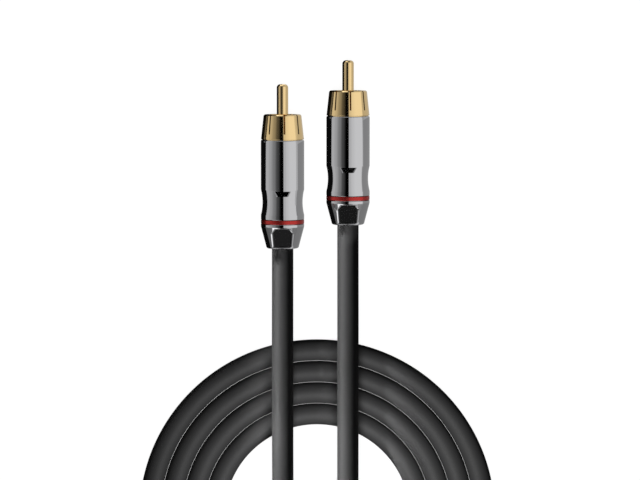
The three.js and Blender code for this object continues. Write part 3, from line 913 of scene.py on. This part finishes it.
WHITE = (1.0, 1.0, 1.0, 1.0)
FLOOR_HALF, FLOOR_GLOW = 4.0, 0.92
FLOOR_CLOTH, FLOOR_DARK = (0.2, 0.2, 0.2, 1.0), (0.05, 0.05, 0.05, 1.0)


def lying(x_low, x_high, y_low, y_high, z):
    """Corners of a level sheet."""
    return [(x_low, y_low, z), (x_high, y_low, z), (x_high, y_high, z), (x_low, y_high, z)]


def along(x, near, far, low, high):
    """Corners of an upright sheet that runs along the plugs."""
    return [(x, near, low), (x, far, low), (x, far, high), (x, near, high)]


def across(y, start, end, low, high):
    """Corners of an upright sheet that runs across the plugs."""
    return [(start, y, low), (end, y, low), (end, y, high), (start, y, high)]


def sheet(name, corners, material):
    """A flat four-cornered card or floor."""
    bm = bmesh.new()
    bm.faces.new([bm.verts.new(corner) for corner in corners])
    thing = finished_object(name, bm)
    paint(thing, material)
    return thing


def group_of(name, things):
    """A collection for light linking."""
    group = bpy.data.collections.new(name)
    for thing in things:
        group.objects.link(thing)
    return group


def only_reflected(thing):
    """Metal shows the thing, and nothing else sees it."""
    for ray in ("camera", "diffuse", "transmission", "volume_scatter", "shadow"):
        setattr(thing, f"visible_{ray}", False)


def mirror_card(name, corners, strength):
    """A glowing card that only metal shows."""
    material, maker = new_material(name)
    end_material(maker, maker.add("ShaderNodeEmission", WHITE, strength))
    material.cycles.emission_sampling = "NONE"
    card = sheet(name, corners, material)
    only_reflected(card)
    return card


TENT_TOP, TENT_RADIUS, TENT_ENDS, TENT_STEPS = 2.0, 0.5, (-3.0, 0.4), 72
# Strength of the tent by its angle from straight above, over the plugs and behind them
OVER_STOPS = ((-95, 0.74), (-70, 0.61), (-45, 0.33), (-28, 0.1), (-9, 0.0), (3, 0.0), (7, 0.78),
              (15, 0.77), (22, 0.91), (45, 1.02), (80, 1.02), (88, 0.45))
BEHIND_STOPS = ((-95, 0.17), (-64, 0.21), (-58, 1.9), (-34, 1.7), (-24, 0.4), (-12, 0.08),
                (-3, 0.025), (6, 0.01), (20, 0.2), (35, 0.7), (52, 0.65), (62, 0.28), (88, 0.3))
# Where along Y the one gives way to the other, and how the border bends with the angle squared
BEHIND_FROM, BEHIND_TO, BEHIND_BEND = -0.316, -0.328, 0.038
# What the sides of a plug mirror, in mm: cards that stand beside it (offset from its axis, from
# and to a station, low and high edge, strength) and strips that lie on the floor (from and to an
# offset, from and to a station, strength)
STANDING_CARDS = (
    (-9.0, -10.0, 5.5, 0.0, 8.2, 0.005), (-9.0, 5.5, 60.0, 0.0, 9.0, 0.005),
    (-9.0, -10.0, 5.5, 8.2, 10.3, 0.18), (-9.0, 5.5, 60.0, 9.0, 11.6, 0.72),
    (-8.9, 30.3, 60.0, 6.8, 8.2, 0.15),
    (8.8, -10.0, 5.5, 0.0, 10.15, 0.32), (8.8, 5.5, 30.3, 0.0, 10.15, 0.4),
    (8.8, 30.3, 60.0, 0.0, 10.15, 0.58),
)
LYING_CARDS = (
    (-9.0, 0.0, -10.0, 60.0, 0.005), (0.0, 8.8, -10.0, 30.3, 0.4), (0.0, 8.8, 30.3, 60.0, 0.58),
)
CARD_LIFT = 0.01 * MM


def strength_by_angle(maker, angle, stops):
    """A ramp through the stops (degrees, strength), as shares of the tent's top strength."""
    low, high = math.radians(stops[0][0]), math.radians(stops[-1][0])
    share = maker.add("ShaderNodeMapRange", angle, low, high, 0.0, 1.0)
    colours = maker.add("ShaderNodeValToRGB", share)
    ramp = colours.node.color_ramp
    ramp.interpolation = "EASE"
    while len(ramp.elements) < len(stops):
        ramp.elements.new(1.0)
    for element, (degrees, strength) in zip(ramp.elements, stops):
        element.position = (math.radians(degrees) - low) / (high - low)
        element.color = (*[strength / TENT_TOP] * 3, 1.0)
    return colours


def tent_material():
    """A soft box on the left, a dark slit over the plugs and a bright box on the right."""
    material, maker = new_material("light tent")
    split = maker.add("ShaderNodeSeparateXYZ", maker.add("ShaderNodeTexCoord", out=3)).node
    angle = maker.maths("ARCTAN2", split.outputs[0], split.outputs[2])
    over, behind = (strength_by_angle(maker, angle, s) for s in (OVER_STOPS, BEHIND_STOPS))
    bent = maker.maths("MULTIPLY", maker.maths("MULTIPLY", angle, angle), BEHIND_BEND)
    station = maker.maths("SUBTRACT", split.outputs[1], bent)
    share = maker.add("ShaderNodeMapRange", station, BEHIND_FROM, BEHIND_TO, 0.0, 1.0)
    mixed = maker.add("ShaderNodeMix", ("Factor", share), out=2, data_type="RGBA")
    maker.tree.links.new(over, mixed.node.inputs[6])
    maker.tree.links.new(behind, mixed.node.inputs[7])
    end_material(maker, maker.add("ShaderNodeEmission", mixed, TENT_TOP))
    material.cycles.emission_sampling = "NONE"
    return material


def light_tent(lit):
    """Half a tube over the plugs, along them."""
    bm = bmesh.new()
    near, far = (
        [
            bm.verts.new((TENT_RADIUS * math.sin(a), y, TENT_RADIUS * math.cos(a)))
            for a in [math.pi * (i / TENT_STEPS - 0.5) for i in range(TENT_STEPS + 1)]
        ]
        for y in TENT_ENDS
    )
    for i in range(TENT_STEPS):
        bm.faces.new((near[i], near[i + 1], far[i + 1], far[i]))
    tent = finished_object("light_tent", bm)
    paint(tent, tent_material())
    only_reflected(tent)
    tent.light_linking.receiver_collection = lit


def side_cards(side):
    """The cards that the sides of a plug mirror."""
    x, y = PLACES[side].x, PLACES[side].y
    cards = [
        (along(x + offset * MM, y + near * MM, y + far * MM, low * MM, high * MM), strength)
        for offset, near, far, low, high, strength in STANDING_CARDS
    ]
    cards += [
        (lying(x + start * MM, x + end * MM, y + near * MM, y + far * MM, CARD_LIFT), strength)
        for start, end, near, far, strength in LYING_CARDS
    ]
    return [mirror_card(f"card_{side}_{i}", *card) for i, card in enumerate(cards)]


def front_cards():
    """What the front edges of a plug mirror: light on the left, dark on the right, grey above."""
    tip, near, far, side, low, high = 0.027, 0.045, 0.45, 0.6, 0.12, 0.8
    cards = {
        "front_floor_card": (lying(MM, side, near, far, CARD_LIFT), 0.08),
        "front_light_card": (lying(-side, -MM, tip, far, CARD_LIFT), 2.0),
        "front_dark_card": (across(far, MM, side, 0.0, low), 0.08),
        "front_grey_card": (across(far, -side, side, low, high), 0.35),
    }
    return [mirror_card(name, *card) for name, card in cards.items()]


def seen_by(maker, *rays):
    """One for any of these rays (Camera, Glossy, Transmission), and nothing for the others."""
    path = maker.add("ShaderNodeLightPath").node
    seen = path.outputs[f"Is {rays[0]} Ray"]
    for ray in rays[1:]:
        seen = maker.maths("MAXIMUM", seen, path.outputs[f"Is {ray} Ray"])
    return seen


def floor_material():
    """White to the camera, with the shadow on it, white in metal, and dark to other light."""
    material, maker = new_material("white floor")
    glow = maker.add("ShaderNodeEmission", WHITE, FLOOR_GLOW)
    seen = maker.add("ShaderNodeAddShader", glow, maker.add("ShaderNodeBsdfDiffuse", FLOOR_CLOTH))
    mirrored = maker.add("ShaderNodeEmission", WHITE, 1.0)
    dark = maker.add("ShaderNodeBsdfDiffuse", FLOOR_DARK)
    other = maker.add("ShaderNodeMixShader", seen_by(maker, "Glossy", "Transmission"), dark,
                      mirrored)
    end_material(maker, maker.add("ShaderNodeMixShader", seen_by(maker, "Camera"), other, seen))
    material.cycles.emission_sampling = "NONE"
    return material


def room_light(scene, strength):
    """White where the camera or metal sees past the floor, and a soft light elsewhere."""
    world = bpy.data.worlds.new("room")
    world.use_nodes = True
    world.node_tree.nodes.clear()
    maker = NodeMaker(world.node_tree)
    seen = seen_by(maker, "Camera", "Glossy", "Transmission")
    soft = maker.add("ShaderNodeBackground", WHITE, strength)
    white = maker.add("ShaderNodeBackground", WHITE, 1.0)
    world.cycles.sampling_method = "NONE"
    out = world.node_tree.nodes.new("ShaderNodeOutputWorld")
    world.node_tree.links.new(maker.add("ShaderNodeMixShader", seen, soft, white), out.inputs[0])
    scene.world = world


# The strip lamps on the left: name, far end along Y, and power against the setting
KEY_STRIPS = (("key", 0.0, 1.0), ("near key", -72 * MM, 0.4))
KEY_NEAR_END = -150 * MM
KEY_DISTANCE, KEY_WIDTH, KEY_AIM_HEIGHT = 130 * MM, 30 * MM, 7.5 * MM
KEY_POWER_LENGTH = 100 * MM


def soft_lamp(name, location, target, size, power, lit, shading):
    """A lamp that lights one group of things, past another. Two sizes make it a strip."""
    data = bpy.data.lights.new(name, "AREA")
    data.shape = "RECTANGLE" if len(size) == 2 else "DISK"
    data.size, data.size_y = size[0], size[-1]
    data.energy = power
    lamp = bpy.data.objects.new(name, data)
    lamp.location = location
    lamp.rotation_euler = (Vector(target) - Vector(location)).to_track_quat("-Z", "Y").to_euler()
    lamp.light_linking.receiver_collection = lit
    lamp.light_linking.blocker_collection = shading
    bpy.context.scene.collection.objects.link(lamp)
    return lamp


def flag(name, corners):
    """A dark card that keeps a lamp off something, and that nothing else sees."""
    card = mirror_card(name, corners, 0.0)
    card.visible_glossy = False
    card.visible_shadow = True
    return card


def lead_flag(side, before, after):
    """A flag lying just over a lead, from before its middle to after it."""
    x, near, far, height = PLACES[side].x, -150 * MM, -28 * MM, 12.4 * MM
    return flag(f"flag_{side}", lying(x - before, x + after, near, far, height))


def light_cable(settings, cord, pieces):
    """Strip lamps low on the left, kept off most of the coil, and a small lamp over the coil."""
    lit = group_of("lit by the key", [cord])
    left, right = PLACES["left"], PLACES["right"]
    over_leads = group_of("keeps the coil lamp off the leads", [
        cord, lead_flag("left", 2.8 * MM, 4.1 * MM), lead_flag("right", 3.6 * MM, 3.1 * MM),
    ])
    near, far, nut_gap, low, high = -180 * MM, 10 * MM, 16 * MM, 16.4 * MM, 18.8 * MM
    doors = {
        "upper_door": along(-20 * MM, near, far, 32 * MM, 90 * MM),
        "lower_door": along(-60 * MM, near, far, 0.0, 34 * MM),
        "lead_door": along(left.x, near, -50 * MM, 12.7 * MM, 15.3 * MM),
        "left_nut_door": along(left.x - nut_gap, left.y - 3.8 * MM, far, low, high),
        "right_nut_door": along(right.x - nut_gap, right.y - 2.6 * MM, far, low, high),
    }
    shading = group_of("keeps the key off the coil", [
        cord, *pieces, *(flag(name, corners) for name, corners in doors.items()),
    ])
    low_left = Vector((-math.sin(settings.key_angle), 0.0, math.cos(settings.key_angle)))
    for name, far_end, share in KEY_STRIPS:
        long = far_end - KEY_NEAR_END
        aim = Vector((0.0, far_end - long / 2, KEY_AIM_HEIGHT))
        key = soft_lamp(name, aim + low_left * KEY_DISTANCE, aim, (long, KEY_WIDTH),
                        settings.key_power * share * long / KEY_POWER_LENGTH, lit, shading)
        key.data.spread = settings.key_spread
    x, y, height, size = 8 * MM, -97 * MM, 75 * MM, 30 * MM
    soft_lamp("coil lamp", (x, y, height), (x, y, 0.0), (size,), settings.coil_power, lit,
              over_leads)


def light_floor(settings, floor, cord, pieces):
    """One lamp straight above, for the soft shadow."""
    lit = group_of("lit from the top", [floor, *pieces])
    y, height, size = -0.04, 0.5, 0.3
    top = soft_lamp("top", (0.0, y, height), (0.0, y, 0.0), (size,), settings.top_power, lit,
                    group_of("casts shadows", [cord, *pieces]))
    top.visible_glossy = False


class AUDIOCABLE_OT_stage(bpy.types.Operator):
    """Makes the floor, the lamps and what the metal reflects"""

    bl_idname = "audiocable.stage"
    bl_label = "Studio"

    def execute(self, context):
        scene, settings = context.scene, context.scene.audiocable_stage
        cord = scene.objects["cable"]
        pieces = [t for t in scene.objects if t.type == "MESH"]
        plugs_lit = group_of("lit by the tent", pieces)
        floor = sheet("floor", lying(-FLOOR_HALF, FLOOR_HALF, -FLOOR_HALF, FLOOR_HALF, 0.0),
                      floor_material())
        floor.light_linking.receiver_collection = plugs_lit
        room_light(scene, settings.ambient)
        light_cable(settings, cord, pieces)
        light_floor(settings, floor, cord, pieces)
        light_tent(plugs_lit)
        for card in [*side_cards("left"), *side_cards("right"), *front_cards()]:
            card.light_linking.receiver_collection = plugs_lit
        scene.view_settings.view_transform = "Standard"
        return {"FINISHED"}


class AUDIOCABLE_PT_panel(bpy.types.Panel):
    """Lists the makers of the audio cable"""

    bl_idname = "AUDIOCABLE_PT_panel"
    bl_label = "Audio Cable"
    bl_space_type = "VIEW_3D"
    bl_region_type = "UI"
    bl_category = "Audio Cable"

    def draw(self, context):
        for name, kind in GROUPS.items():
            box, group = self.layout.box(), getattr(context.scene, name)
            for label in kind.__annotations__:
                box.prop(group, label)
        for operator in OPERATORS:
            self.layout.operator(operator.bl_idname)


GROUPS = {
    "audiocable_plug": AUDIOCABLE_PG_plug,
    "audiocable_cord": AUDIOCABLE_PG_cord,
    "audiocable_finish": AUDIOCABLE_PG_finish,
    "audiocable_stage": AUDIOCABLE_PG_stage,
}
OPERATORS = (
    AUDIOCABLE_OT_camera,
    AUDIOCABLE_OT_cable,
    AUDIOCABLE_OT_pins,
    AUDIOCABLE_OT_collars,
    AUDIOCABLE_OT_insulators,
    AUDIOCABLE_OT_barrels,
    AUDIOCABLE_OT_rings,
    AUDIOCABLE_OT_nuts,
    AUDIOCABLE_OT_inner_pieces,
    AUDIOCABLE_OT_stage,
)
CLASSES = (*GROUPS.values(), *OPERATORS, AUDIOCABLE_PT_panel)


def register():
    for made in CLASSES:
        bpy.utils.register_class(made)
    for name, group in GROUPS.items():
        setattr(bpy.types.Scene, name, PointerProperty(type=group))


def unregister():
    for name in GROUPS:
        delattr(bpy.types.Scene, name)
    for made in reversed(CLASSES):
        bpy.utils.unregister_class(made)


def main():
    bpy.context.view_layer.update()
    register()
    for operator in OPERATORS:
        category, name = operator.bl_idname.split(".")
        getattr(getattr(bpy.ops, category), name)()


if __name__ == "__main__":
    main()
